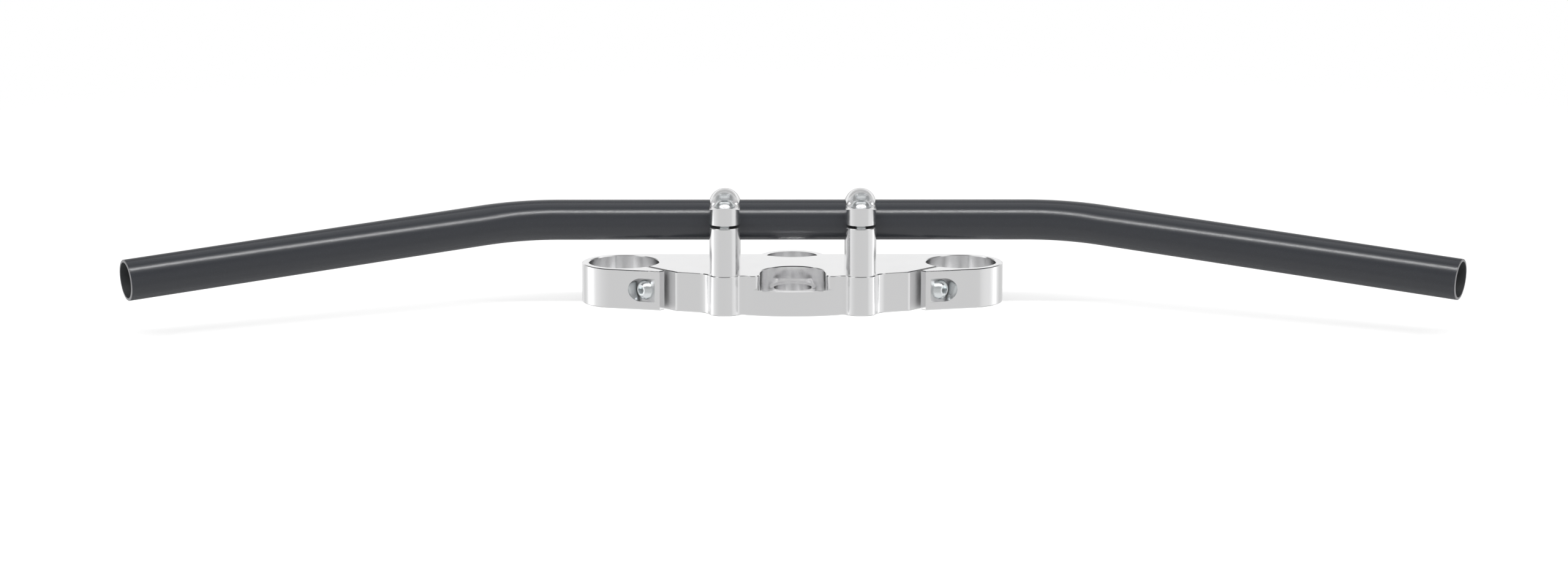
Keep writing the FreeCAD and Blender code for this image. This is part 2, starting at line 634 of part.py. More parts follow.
def make_handlebar():
    """One tube: a straight middle, two equal bends and two straight arms."""
    body = new_body("handlebar")
    sweep = math.radians(value("sizes.bar_sweep_angle"))
    radius = value("sizes.bar_bend_radius")
    vertex = value("sizes.bar_vertex")
    tangent = radius * math.tan(sweep / 2)
    bend_start = Vector(vertex - tangent, 0)
    bend_end = Vector(vertex + tangent * math.cos(sweep), -tangent * math.sin(sweep))
    end = Vector(vertex, 0) + Vector(math.cos(sweep), -math.sin(sweep)) * value("sizes.bar_arm")

    path = new_sketch(body, "bar_path", "XY_Plane")
    middle = add_line(path, Vector(0, 0), bend_start)
    bend = add_arc(path, Vector(bend_start.x, -radius), radius, bend_end, bend_start)
    arm = add_line(path, bend_end, end)
    constrain(path, "Coincident", middle, 1, -1, 1)
    constrain(path, "Horizontal", middle)
    constrain(path, "Tangent", middle, 2, bend, 2)
    constrain(path, "Tangent", bend, 1, arm, 1)
    dimension(path, "sizes.bar_bend_radius", "Radius", bend)
    dimension(path, "-sizes.bar_sweep_angle", "Angle", arm)
    tangent_length = "sizes.bar_bend_radius * tan(sizes.bar_sweep_angle / 2)"
    dimension(path, f"sizes.bar_vertex - {tangent_length}", "Distance", middle)
    dimension(path, f"sizes.bar_arm - {tangent_length}", "Distance", arm)

    section = new_sketch(body, "bar_section", "YZ_Plane")
    draw_circle(section, "sizes.bar_outside")
    draw_circle(section, "sizes.bar_outside - 2 * sizes.bar_wall")
    tube = body.newObject("PartDesign::AdditivePipe", "bar_half")
    tube.Profile = section
    tube.Spine = path
    doc.recompute()

    def tube_end(edge):
        return edge.CenterOfGravity.distanceToPoint(end) < TOLERANCE

    chamfer(body, "bar_end", tube_end, "sizes.bar_end_break")
    whole = body.newObject("PartDesign::Mirrored", "bar_whole")
    whole.TransformMode = "Whole shape"
    whole.MirrorPlane = (origin_feature(body, "YZ_Plane"), [""])
    body.Tip = whole
    place(body, y="sizes.bar_forward", z=BAR_Z, turn="rotationx(sizes.bar_roll_angle)")
    return body


# Risers and clamp caps


def make_riser(side, sign):
    """Post of stadium plan with the lower half of the bar's seat."""
    body = new_body(f"riser_{side}")
    plan = new_sketch(body, f"riser_{side}_plan", "XY_Plane")
    draw_stadium(plan, "sizes.cap_screw_reach", "sizes.riser_width")
    height = "sizes.bar_height - sizes.riser_split"
    pad(body, plan, height)
    hole(body, f"riser_{side}_seat", CLAMP_BORE, None, "sizes.bar_height", plane="YZ_Plane", both_ways=True)
    for row, row_sign in ROWS.items():
        hole(body, f"riser_{side}_tapped_{row}", SCREW_HOLE, None, f"{row_sign} * sizes.cap_screw_reach",
             height=height, depth=CAP_HOLE_DEPTH)
    hole(body, f"riser_{side}_foot_hole", RISER_SCREW_HOLE, depth=RISER_HOLE_DEPTH, upward=True)
    top = value(height)

    def foot_rim(edge):
        return lies_at_height(edge, 0)

    def top_rim(edge):
        return lies_at_height(edge, top)

    chamfer(body, f"riser_{side}_foot", foot_rim, "sizes.riser_foot_break")
    chamfer(body, f"riser_{side}_top", top_rim, "sizes.edge_break")
    place(body, f"{sign} * {RISER_X}", "sizes.bar_forward", "sizes.yoke_thickness")
    return body


def draw_hump_plan(sketch):
    """The hump over the bar: straight sides and two walls hollowed round the screws."""
    half = value("sizes.riser_width / 2")
    reach = value("sizes.cap_screw_reach")
    radius = value("sizes.cap_wall_radius")
    corner = reach - math.sqrt(radius ** 2 - half ** 2)
    right = add_line(sketch, Vector(half, -corner), Vector(half, corner))
    front = add_arc(sketch, Vector(0, reach), radius, Vector(-half, corner), Vector(half, corner))
    left = add_line(sketch, Vector(-half, corner), Vector(-half, -corner))
    rear = add_arc(sketch, Vector(0, -reach), radius, Vector(half, -corner), Vector(-half, -corner))
    for one, one_end, other, other_end in (
            (right, 2, front, 2), (front, 1, left, 1), (left, 2, rear, 2), (rear, 1, right, 1)):
        constrain(sketch, "Coincident", one, one_end, other, other_end)
    constrain(sketch, "Vertical", right)
    constrain(sketch, "Vertical", left)
    fix_point(sketch, front, 3, None, "sizes.cap_screw_reach")
    fix_point(sketch, rear, 3, None, "-sizes.cap_screw_reach")
    dimension(sketch, "sizes.cap_wall_radius", "Radius", front)
    dimension(sketch, "sizes.cap_wall_radius", "Radius", rear)
    dimension(sketch, "sizes.riser_width / 2", "DistanceX", -1, 1, right, 2)
    dimension(sketch, "sizes.riser_width / 2", "DistanceX", left, 1, -1, 1)


def draw_vault(sketch):
    """What is turned off the hump: a block with a round vault left standing."""
    radius = value("sizes.cap_vault_radius")
    ridge = value("sizes.cap_ridge")
    spring = ridge - radius
    top = ridge + radius
    wide = 2 * radius
    points = [Vector(-radius, spring), Vector(-wide, spring), Vector(-wide, top), Vector(wide, top),
              Vector(wide, spring), Vector(radius, spring)]
    lines = [add_line(sketch, points[n], points[n + 1]) for n in range(5)]
    arch = add_arc(sketch, Vector(0, spring), radius, points[5], points[0])
    for n in range(4):
        constrain(sketch, "Coincident", lines[n], 2, lines[n + 1], 1)
    constrain(sketch, "Coincident", lines[4], 2, arch, 1)
    constrain(sketch, "Coincident", arch, 2, lines[0], 1)
    for n in (0, 2, 4):
        constrain(sketch, "Horizontal", lines[n])
    for n in (1, 3):
        constrain(sketch, "Vertical", lines[n])
    constrain(sketch, "Horizontal", arch, 1, arch, 3)
    fix_point(sketch, arch, 3, None, "sizes.cap_ridge - sizes.cap_vault_radius")
    dimension(sketch, "sizes.cap_vault_radius", "Radius", arch)
    dimension(sketch, "2 * sizes.cap_vault_radius", "Distance", lines[1])
    dimension(sketch, "sizes.cap_vault_radius", "Distance", lines[0])
    dimension(sketch, "sizes.cap_vault_radius", "Distance", lines[4])


def draw_lug_section(sketch):
    """The lugs' section across the bar's length: square below, with a low crown."""
    half = value("sizes.riser_width / 2")
    low = value("sizes.cap_split")
    radius = value("sizes.cap_crown_radius")
    centre = value("sizes.cap_crown") - radius
    shoulder = centre + math.sqrt(radius ** 2 - half ** 2)
    base = add_line(sketch, Vector(-half, low), Vector(half, low))
    right = add_line(sketch, Vector(half, low), Vector(half, shoulder))
    crown = add_arc(sketch, Vector(0, centre), radius, Vector(half, shoulder), Vector(-half, shoulder))
    left = add_line(sketch, Vector(-half, shoulder), Vector(-half, low))
    for one, one_end, other, other_end in (
            (base, 2, right, 1), (right, 2, crown, 1), (crown, 2, left, 1), (left, 2, base, 1)):
        constrain(sketch, "Coincident", one, one_end, other, other_end)
    constrain(sketch, "Vertical", right)
    constrain(sketch, "Vertical", left)
    fix_point(sketch, base, 1, "-sizes.riser_width / 2", "sizes.cap_split")
    fix_point(sketch, base, 2, "sizes.riser_width / 2", "sizes.cap_split")
    dimension(sketch, "sizes.cap_crown_radius", "Radius", crown)
    fix_point(sketch, crown, 3, None, "sizes.cap_crown - sizes.cap_crown_radius")


def draw_lug_end(sketch, row_sign):
    """What is cut from a lug's square end to leave a half round."""
    half = value("sizes.riser_width / 2")
    reach = row_sign * value("sizes.cap_screw_reach")
    far = reach + row_sign * 2 * half
    first = Vector(row_sign * half, reach)
    last = Vector(-row_sign * half, reach)
    end = add_arc(sketch, Vector(0, reach), half, first, last)
    down = add_line(sketch, last, Vector(last.x, far))
    across = add_line(sketch, Vector(last.x, far), Vector(first.x, far))
    up = add_line(sketch, Vector(first.x, far), first)
    for one, one_end, other, other_end in (
            (end, 2, down, 1), (down, 2, across, 1), (across, 2, up, 1), (up, 2, end, 1)):
        constrain(sketch, "Coincident", one, one_end, other, other_end)
    constrain(sketch, "Vertical", down)
    constrain(sketch, "Vertical", up)
    constrain(sketch, "Horizontal", end, 1, end, 3)
    constrain(sketch, "Horizontal", across)
    fix_point(sketch, end, 3, None, f"{row_sign} * sizes.cap_screw_reach")
    dimension(sketch, "sizes.riser_width / 2", "Radius", end)
    dimension(sketch, "sizes.riser_width", "Distance", up)


def make_cap(side, sign):
    """Round-backed cap with the upper half of the bar's seat and two crowned lugs."""
    body = new_body(f"clamp_cap_{side}")
    hump = new_sketch(body, f"cap_{side}_hump", "XY_Plane", "sizes.cap_split")
    draw_hump_plan(hump)
    pad(body, hump, "sizes.cap_ridge - sizes.cap_split")
    vault = new_sketch(body, f"cap_{side}_vault", "XZ_Plane")
    draw_vault(vault)
    turned = body.newObject("PartDesign::Groove", f"cap_{side}_vault_turned")
    turned.Profile = vault
    turned.ReferenceAxis = (vault, ["H_Axis"])
    turned.Angle = 180
    turned.Midplane = True
    lugs = new_sketch(body, f"cap_{side}_lugs", "XZ_Plane")
    draw_lug_section(lugs)
    lug_pad = pad(body, lugs, "2 * sizes.cap_screw_reach + sizes.riser_width")
    lug_pad.Midplane = True
    hole(body, f"cap_{side}_seat", CLAMP_BORE, plane="YZ_Plane", both_ways=True)
    for row, row_sign in ROWS.items():
        end = new_sketch(body, f"cap_{side}_end_{row}", "XY_Plane", "sizes.cap_ridge")
        draw_lug_end(end, row_sign)
        pocket(body, end)
        reach = f"{row_sign} * sizes.cap_screw_reach"
        hole(body, f"cap_{side}_spotface_{row}", "sizes.screw_head + 2 * sizes.cap_spotface_margin", None,
             reach, height="sizes.cap_seat", upward=True)
        hole(body, f"cap_{side}_hole_{row}", SCREW_HOLE, None, reach, height="sizes.cap_ridge")
    low = value("sizes.cap_split")

    def rim(edge):
        return lies_at_height(edge, low)

    chamfer(body, f"cap_{side}_rim", rim, "sizes.cap_split_break")
    place(body, f"{sign} * {RISER_X}", "sizes.bar_forward", BAR_Z)
    return body


# Fasteners


def make_button_screw(label, length, rim):
    """Button-head screw: origin under the head, head towards +Z, with a straight rim under the dome."""
    body = new_body(label)
    profile = new_sketch(body, f"{label}_profile", "XZ_Plane")
    shank = value("sizes.screw_shank / 2")
    head = value("sizes.screw_head / 2")
    low = value(rim)
    rise = value("sizes.screw_head_dome")
    height = low + rise
    head_height = f"{rim} + sizes.screw_head_dome"
    crown = value("sizes.screw_head_top / 2")
    tip = value("sizes.screw_tip_chamfer")
    far = value(length)
    points = [Vector(0, height), Vector(0, -far), Vector(shank - tip, -far), Vector(shank, tip - far),
              Vector(shank, 0), Vector(head, 0), Vector(head, low)]
    lines = [add_line(profile, points[n], points[n + 1]) for n in range(6)]
    centre_y = low + (rise ** 2 - head ** 2 + crown ** 2) / (2 * rise)
    centre = Vector(0, centre_y)
    dome = add_arc(profile, centre, math.hypot(head, low - centre_y), points[6], Vector(crown, height))
    top = add_line(profile, Vector(crown, height), points[0])
    for n in range(5):
        constrain(profile, "Coincident", lines[n], 2, lines[n + 1], 1)
    constrain(profile, "Coincident", lines[5], 2, dome, 1)
    constrain(profile, "Coincident", dome, 2, top, 1)
    constrain(profile, "Coincident", top, 2, lines[0], 1)
    constrain(profile, "PointOnObject", dome, 3, -2)
    fix_point(profile, lines[0], 1, None, head_height)
    fix_point(profile, lines[0], 2, None, f"-({length})")
    constrain(profile, "Horizontal", lines[1])
    constrain(profile, "Vertical", lines[3])
    constrain(profile, "Vertical", lines[5])
    constrain(profile, "Horizontal", top)
    fix_point(profile, lines[3], 2, "sizes.screw_shank / 2", None)
    fix_point(profile, lines[4], 2, "sizes.screw_head / 2", None)
    dimension(profile, "sizes.screw_shank / 2 - sizes.screw_tip_chamfer", "Distance", lines[1])
    dimension(profile, f"{length} - sizes.screw_tip_chamfer", "Distance", lines[3])
    dimension(profile, rim, "Distance", lines[5])
    dimension(profile, "sizes.screw_head_top / 2", "Distance", top)
    revolve(body, profile)
    socket = new_sketch(body, f"{label}_socket", "XY_Plane", head_height)
    draw_hexagon(socket, "sizes.screw_socket")
    pocket(body, socket, "sizes.screw_socket_depth")
    return body


def make_cap_screw(side, sign, row, row_sign):
    body = make_button_screw(f"cap_screw_{side}_{row}", "sizes.cap_screw_length", "sizes.cap_screw_rim")
    place(body, f"{sign} * {RISER_X}", f"sizes.bar_forward + {row_sign} * sizes.cap_screw_reach",
          f"{BAR_Z} + sizes.cap_seat")
    return body


def make_pinch_screw(side, sign):
    """The screw lies across the slit, with its head in the ear's pocket."""
    body = make_button_screw(f"pinch_screw_{side}", "sizes.pinch_screw_length", "sizes.pinch_screw_rim")
    place(body,
          f"{sign} * (sizes.fork_spacing / 2 + sizes.pinch_seat * sin(sizes.slit_angle)"
          " - sizes.pinch_reach * cos(sizes.slit_angle))",
          "sizes.fork_forward - sizes.pinch_seat * cos(sizes.slit_angle)"
          " - sizes.pinch_reach * sin(sizes.slit_angle)",
          "sizes.yoke_thickness / 2",
          f"rotationz({sign} * sizes.slit_angle) * rotationx(90)")
    return body


def make_riser_screw(side, sign):
    """Socket screw from below: origin under the head, head towards -Z."""
    body = new_body(f"riser_screw_{side}")
    profile = new_sketch(body, f"riser_screw_{side}_profile", "XZ_Plane")
    shank = "sizes.riser_screw_shank / 2"
    draw_polygon(profile, [
        ("0", "-sizes.riser_screw_head_height"),
        ("sizes.riser_screw_head / 2", "-sizes.riser_screw_head_height"),
        ("sizes.riser_screw_head / 2", "0"),
        (shank, "0"),
        (shank, "sizes.riser_screw_length - sizes.screw_tip_chamfer"),
        (f"{shank} - sizes.screw_tip_chamfer", "sizes.riser_screw_length"),
        ("0", "sizes.riser_screw_length"),
    ])
    revolve(body, profile)
    socket = new_sketch(body, f"riser_screw_{side}_socket", "XY_Plane", "-sizes.riser_screw_head_height")
    draw_hexagon(socket, "sizes.riser_screw_socket")
    pocket(body, socket, "sizes.riser_screw_socket_depth", upward=True)
    place(body, f"{sign} * {RISER_X}", "sizes.bar_forward", RISER_SCREW_SEAT)
    return body


def make_riser_washer(side, sign):
    body = new_body(f"riser_washer_{side}")
    ring = new_sketch(body, f"riser_washer_{side}_plan", "XY_Plane")
    draw_circle(ring, "sizes.washer_outside")
    draw_circle(ring, RISER_SCREW_HOLE)
    pad(body, ring, "sizes.washer_thickness")
    place(body, f"{sign} * {RISER_X}", "sizes.bar_forward", RISER_SCREW_SEAT)
    return body


def make_parts():
    bodies = [make_top_yoke(), make_handlebar()]
    for side, sign in SIDES.items():
        bodies.append(make_riser(side, sign))
        bodies.append(make_cap(side, sign))
        for row, row_sign in ROWS.items():
            bodies.append(make_cap_screw(side, sign, row, row_sign))
        bodies.append(make_pinch_screw(side, sign))
        bodies.append(make_riser_screw(side, sign))
        bodies.append(make_riser_washer(side, sign))
    return bodies


def check(bodies):
    """Stop before anything is written if an object failed."""
    for item in doc.Objects:
        if "Invalid" in item.State or "Error" in item.State:
            raise RuntimeError(f"{item.Name} failed: {item.State}")
    for body in bodies:
        shape = body.Shape
        if shape.isNull() or not shape.isValid() or len(shape.Solids) != 1:
            raise RuntimeError(f"{body.Label} is not one valid solid")


parts = make_parts()
doc.recompute()
check(parts)
os.makedirs("parts", exist_ok=True)
for part in parts:
    part.Shape.exportStep(f"parts/{part.Label}.step")
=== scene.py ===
"""Looks of the drag bar handlebar on its top yoke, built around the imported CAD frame.

Metres, in the CAD's frame: the origin is on the steering stem's axis at the yoke's
underside, +X is the rider's right, +Y is forward and +Z is up. The camera looks
forward from the rider's side.
"""

import math

import bpy
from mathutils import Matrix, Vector


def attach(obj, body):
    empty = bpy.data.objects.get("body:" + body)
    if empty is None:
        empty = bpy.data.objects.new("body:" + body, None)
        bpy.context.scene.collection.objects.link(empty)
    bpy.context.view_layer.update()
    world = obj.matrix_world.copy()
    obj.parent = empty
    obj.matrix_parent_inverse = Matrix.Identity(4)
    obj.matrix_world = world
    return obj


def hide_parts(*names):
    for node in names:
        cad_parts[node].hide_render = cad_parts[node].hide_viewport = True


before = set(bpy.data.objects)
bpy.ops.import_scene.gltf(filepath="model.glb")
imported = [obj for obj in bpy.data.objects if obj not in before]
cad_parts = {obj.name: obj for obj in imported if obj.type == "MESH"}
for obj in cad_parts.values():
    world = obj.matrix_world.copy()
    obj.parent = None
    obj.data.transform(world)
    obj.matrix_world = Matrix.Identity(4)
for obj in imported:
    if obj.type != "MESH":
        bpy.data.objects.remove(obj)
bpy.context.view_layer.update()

# Camera: fitted to the bar's outline and the fork holes in the photograph.
PHOTO_WIDTH = 2560
FOCAL_PIXELS = 7280
SENSOR_WIDTH = 36.0
CAMERA_TARGET = Vector((-0.0047, 0.0313, 0.0050))
CAMERA_DISTANCE = 2.4875
CAMERA_AZIMUTH = -0.19
CAMERA_ELEVATION = 11.08

# Bar: the CAD's centre line and tube, in metres and degrees.
BAR_VERTEX = 0.1503
BAR_ARM = 0.2252
BAR_SWEEP = 24.6
BAR_ROLL = 9.9
BAR_BEND = 0.100
BAR_FORWARD = 0.0108
BAR_HEIGHT = 0.04945
BAR_RADIUS = 0.0111
BAR_WALL = 0.0017
BAR_END_BREAK = 0.0003
BAR_SIDES = 128
BEND_STEPS = 24

# Dull faces of the yoke, the sawn slits' inner ones and the screw pockets' floors: the azimuth
# that they look to, their distance from the stem's axis, and how near to both a face has to be.
SLIT_ANGLE = 47.0
SLIT_REACH = 0.04625
POCKET_REACH = 0.05365
DULL_LIKENESS = 0.9995
DULL_TOLERANCE = 0.0005
# Turning marks on the stem recess's floor, as far as its round sill on the rider's side.
RECESS_RADIUS = 0.0179
RECESS_FLOOR = 0.0148
SILL_CENTRE = (0.0, 0.0543, 0.0)
SILL_RADIUS = 0.0690
TURNING_SCALE = 300.0
TURNING_STRENGTH = 0.25
TURNING_DEPTH = 0.0001

# Colours as linear RGB, and roughness.
BAR_COLOUR = (0.0185, 0.020, 0.0236)
BARE_COLOUR = (0.34, 0.34, 0.35)
INSIDE_COLOUR = (0.012, 0.0135, 0.015)
ALUMINIUM_COLOUR = (0.9, 0.9, 0.905)
DULL_COLOUR = (0.7, 0.7, 0.705)
ZINC_COLOUR = (0.72, 0.75, 0.76)
FLOOR_COLOUR = (0.9, 0.9, 0.9)
WHITE = (1.0, 1.0, 1.0, 1.0)
BAR_ROUGHNESS = 0.25
BARE_ROUGHNESS = 0.4
INSIDE_ROUGHNESS = 0.7
ALUMINIUM_ROUGHNESS = 0.17
DULL_ROUGHNESS = 0.5
ZINC_ROUGHNESS = 0.26
COAT_SPECULAR = 0.42

# Fine textures: clouds in the gloss as scale and depth, then polishing streaks on the
# aluminium, and orange peel and sparks in the coat.
ALUMINIUM_CLOUD = (60.0, 0.04)
ZINC_CLOUD = (300.0, 0.06)
BARE_CLOUD = (400.0, 0.08)
STREAK_STRETCH = (1.0, 1.0, 0.04)
STREAK_SCALE = 900.0
STREAK_STRENGTH = 0.06
STREAK_DEPTH = 0.0003
PEEL_SCALE = 3200.0
PEEL_STRENGTH = 0.18
PEEL_DEPTH = 0.0001
SPARK_SCALE = 1500.0
SPARK_SPAN = (0.24, 0.1)
SPARK_LIFT = 1.5

# The studio that the metal mirrors: brightness, where 1 is white, and the span of a
# direction's Y or Z over which one brightness turns into the next.
ROOM_LEVEL = 0.6
CEILING_LEVEL = 0.28
CEILING_SPAN = (0.2, 0.7)
BACK_LEVEL = 0.95
BACK_SPAN = (0.55, 0.9)
BACK_FADE = 0.65
BACK_FADE_SPAN = (0.22, 0.42)
DOWN_LEVEL = 0.95
DOWN_SPAN = (-0.4, -0.7)
DOWN_BACK_LEVEL = 0.5
DOWN_BACK_SPAN = (0.1, 0.5)
HORIZON_SPAN = (0.0, 0.14)
# Brightness just below the horizon, by azimuth: 0 is towards the camera.
LOW_LEVELS = (
    (-180, 0.3), (-168, 0.5), (-158, 0.92), (-140, 0.68), (-126, 0.74), (-116, 1.05), (-108, 1.5),
    (-98, 1.5), (-92, 1.02), (-80, 0.82), (-60, 0.71), (-40, 0.65), (0, 0.65), (50, 0.66), (58, 0.76),
    (74, 0.83), (84, 0.82), (98, 1.02), (104, 1.4), (109, 1.3), (118, 0.88), (130, 0.67),
    (150, 0.66), (160, 0.8), (170, 0.5), (180, 0.3))
# What lights matt surfaces, and the floor with its glow by distance from the origin.
FILL_LEVEL = 0.75
FLOOR_SIZE = 12.0
FLOOR_GLOW = 0.65
FLOOR_GLOW_SPAN = (0.3, 1.0)

# Lamps: azimuth and elevation in degrees, width and height in metres, and radiance.
LAMP_DISTANCE = 1.6
LAMPS = {
    "key_strip": (0, 57, 3.0, 0.07, 60.0),
    "top_box": (180, 83, 2.4, 0.62, 0.7),
    "back_box": (180, 66, 2.4, 0.34, 1.1),
}


def direction(azimuth, elevation):
    """Unit vector from the object; azimuth 0 is towards the camera, 90 to its right."""
    a, e = math.radians(azimuth), math.radians(elevation)
    return Vector((math.sin(a) * math.cos(e), -math.cos(a) * math.cos(e), math.sin(e)))


# Nodes


def feed(tree, socket, source):
    """Links an input to another node's output, or sets it to a constant."""
    if isinstance(source, bpy.types.NodeSocket):
        tree.links.new(source, socket)
    else:
        socket.default_value = source


def add_node(tree, kind, **settings):
    """A node with its inputs fed, and its attributes set where a name is no input's."""
    node = tree.nodes.new(kind)
    attributes = {name: setting for name, setting in settings.items() if name not in node.inputs}
    for name, setting in attributes.items():
        setattr(node, name, setting)
    for name, setting in settings.items():
        if name not in attributes:
            feed(tree, node.inputs[name], setting)
    return node


def compute(tree, operation, *sources):
    """The result of a math node."""
    node = add_node(tree, "ShaderNodeMath", operation=operation)
    for socket, source in zip(node.inputs, sources):
        feed(tree, socket, source)
    return node.outputs["Value"]


def measure(tree, operation, *sources):
    """The number that a vector math node gives."""
    node = add_node(tree, "ShaderNodeVectorMath", operation=operation)
    for socket, source in zip(node.inputs, sources):
        feed(tree, socket, source)
    return node.outputs["Value"]


def multiply(tree, first, second):
    """Two vectors multiplied axis by axis."""
    node = add_node(tree, "ShaderNodeVectorMath", operation="MULTIPLY")
    feed(tree, node.inputs[0], first)
    feed(tree, node.inputs[1], second)
    return node.outputs["Vector"]


def turn_into(tree, source, span, levels, interpolation="SMOOTHSTEP"):
    """A value's span mapped onto the way from one level to another."""
    node = add_node(tree, "ShaderNodeMapRange", interpolation_type=interpolation, Value=source)
    for name, level in zip(("From Min", "From Max", "To Min", "To Max"), (*span, *levels)):
        feed(tree, node.inputs[name], level)
    return node.outputs["Result"]


def mix_colours(tree, factor, first, second):
    node = add_node(tree, "ShaderNodeMix", data_type="RGBA")
    for name, source in (("Factor", factor), ("A", first), ("B", second)):
        feed(tree, node.inputs[name], source)
    return node.outputs["Result"]


def mix_shaders(tree, factor, first, second):
    node = add_node(tree, "ShaderNodeMixShader")
    for socket, source in zip(node.inputs, (factor, first, second)):
        feed(tree, socket, source)
    return node.outputs["Shader"]


def spot_on_object(tree):
    return add_node(tree, "ShaderNodeTexCoord").outputs["Object"]


# Materials


def new_material(name):
    material = bpy.data.materials.new(name)
    material.use_nodes = True
    tree = material.node_tree
    return material, tree, tree.nodes["Principled BSDF"]


def clouded_roughness(tree, spot, roughness, scale, depth):
    """Gloss that varies a little over the surface."""
    cloud = add_node(tree, "ShaderNodeTexNoise", Vector=spot, Scale=scale, Detail=4.0)
    levels = (roughness - depth, roughness + depth)
    return turn_into(tree, cloud.outputs["Fac"], (0.0, 1.0), levels, "LINEAR")


def metal(name, colour, roughness, scale, depth):
    """Bare metal with clouded gloss."""
    material, tree, shader = new_material(name)
    feed(tree, shader.inputs["Base Color"], (*colour, 1))
    feed(tree, shader.inputs["Metallic"], 1)
    gloss = clouded_roughness(tree, spot_on_object(tree), roughness, scale, depth)
    feed(tree, shader.inputs["Roughness"], gloss)
    return material


def dull_mask(tree, spot):
    """1 on the sawn slit faces and the screw pockets' floors, on either side of the stem."""
    x = add_node(tree, "ShaderNodeSeparateXYZ", Vector=spot).outputs["X"]
    side = compute(tree, "SIGN", x)
    mirror = add_node(tree, "ShaderNodeCombineXYZ", X=side, Y=1.0, Z=1.0).outputs["Vector"]
    normal = add_node(tree, "ShaderNodeNewGeometry").outputs["True Normal"]
    outward = direction(SLIT_ANGLE, 0)
    likeness = measure(tree, "DOT_PRODUCT", multiply(tree, normal, mirror), outward)
    reach = measure(tree, "DOT_PRODUCT", multiply(tree, spot, mirror), outward)
    alike = compute(tree, "GREATER_THAN", likeness, DULL_LIKENESS)
    in_slit = compute(tree, "COMPARE", reach, SLIT_REACH, DULL_TOLERANCE)
    in_pocket = compute(tree, "COMPARE", reach, POCKET_REACH, DULL_TOLERANCE)
    return compute(tree, "MULTIPLY", alike, compute(tree, "MAXIMUM", in_slit, in_pocket))


def polishing_streaks(tree, spot):
    """Normals with fine upright streaks."""
    stretch = add_node(tree, "ShaderNodeMapping", Vector=spot, Scale=STREAK_STRETCH)
    streaks = add_node(tree, "ShaderNodeTexNoise", Vector=stretch.outputs["Vector"],
                       Scale=STREAK_SCALE, Detail=3.0)
    bump = add_node(tree, "ShaderNodeBump", Height=streaks.outputs["Fac"],
                    Strength=STREAK_STRENGTH, Distance=STREAK_DEPTH)
    return bump.outputs["Normal"]


def turning_marks(tree, spot, normal):
    """Normals with rings about the stem's axis, on the recess's floor only."""
    split = add_node(tree, "ShaderNodeSeparateXYZ", Vector=spot)
    flat = add_node(tree, "ShaderNodeCombineXYZ", X=split.outputs["X"], Y=split.outputs["Y"])
    reach = measure(tree, "LENGTH", flat.outputs["Vector"])
    from_sill = measure(tree, "DISTANCE", flat.outputs["Vector"], SILL_CENTRE)
    within = compute(tree, "LESS_THAN", reach, RECESS_RADIUS)
    behind = compute(tree, "LESS_THAN", from_sill, SILL_RADIUS)
    below = compute(tree, "LESS_THAN", split.outputs["Z"], RECESS_FLOOR)
    on_floor = compute(tree, "MULTIPLY", compute(tree, "MULTIPLY", within, behind), below)
    strength = compute(tree, "MULTIPLY", on_floor, TURNING_STRENGTH)
    rings = add_node(tree, "ShaderNodeTexWave", wave_type="RINGS", rings_direction="Z",
                     Vector=spot, Scale=TURNING_SCALE)
    bump = add_node(tree, "ShaderNodeBump", Height=rings.outputs["Fac"], Strength=strength,
                    Distance=TURNING_DEPTH, Normal=normal)
    return bump.outputs["Normal"]


def machined_aluminium(name):
    """Polished aluminium: upright streaks, dull slits and pockets, and turning marks in the stem recess."""
    material, tree, shader = new_material(name)
    spot = spot_on_object(tree)
    smooth = clouded_roughness(tree, spot, ALUMINIUM_ROUGHNESS, *ALUMINIUM_CLOUD)
    dull = dull_mask(tree, spot)
    gloss = add_node(tree, "ShaderNodeMix", Factor=dull, A=smooth, B=DULL_ROUGHNESS)
    colour = mix_colours(tree, dull, (*ALUMINIUM_COLOUR, 1), (*DULL_COLOUR, 1))
    feed(tree, shader.inputs["Base Color"], colour)
    feed(tree, shader.inputs["Metallic"], 1)
    feed(tree, shader.inputs["Roughness"], gloss.outputs["Result"])
    feed(tree, shader.inputs["Normal"], turning_marks(tree, spot, polishing_streaks(tree, spot)))
    return material


def satin_coat(name, colour, roughness):
    """Dark powder coat: fine orange peel and tiny pale sparks."""
    material, tree, shader = new_material(name)
    spot = spot_on_object(tree)
    peel = add_node(tree, "ShaderNodeTexNoise", Vector=spot, Scale=PEEL_SCALE, Detail=2.0)
    bump = add_node(tree, "ShaderNodeBump", Height=peel.outputs["Fac"],
                    Strength=PEEL_STRENGTH, Distance=PEEL_DEPTH)
    sparks = add_node(tree, "ShaderNodeTexVoronoi", Vector=spot, Scale=SPARK_SCALE)
    bright = turn_into(tree, sparks.outputs["Distance"], SPARK_SPAN, (0.0, 1.0), "LINEAR")
    tint = mix_colours(tree, bright, (*colour, 1), (*[SPARK_LIFT * c for c in colour], 1))
    feed(tree, shader.inputs["Base Color"], tint)
    feed(tree, shader.inputs["Roughness"], roughness)
    feed(tree, shader.inputs["Specular IOR Level"], COAT_SPECULAR)
    feed(tree, shader.inputs["Normal"], bump.outputs["Normal"])
    return material


def dress(node, material):
    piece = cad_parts[node]
    piece.data.materials.clear()
    piece.data.materials.append(material)


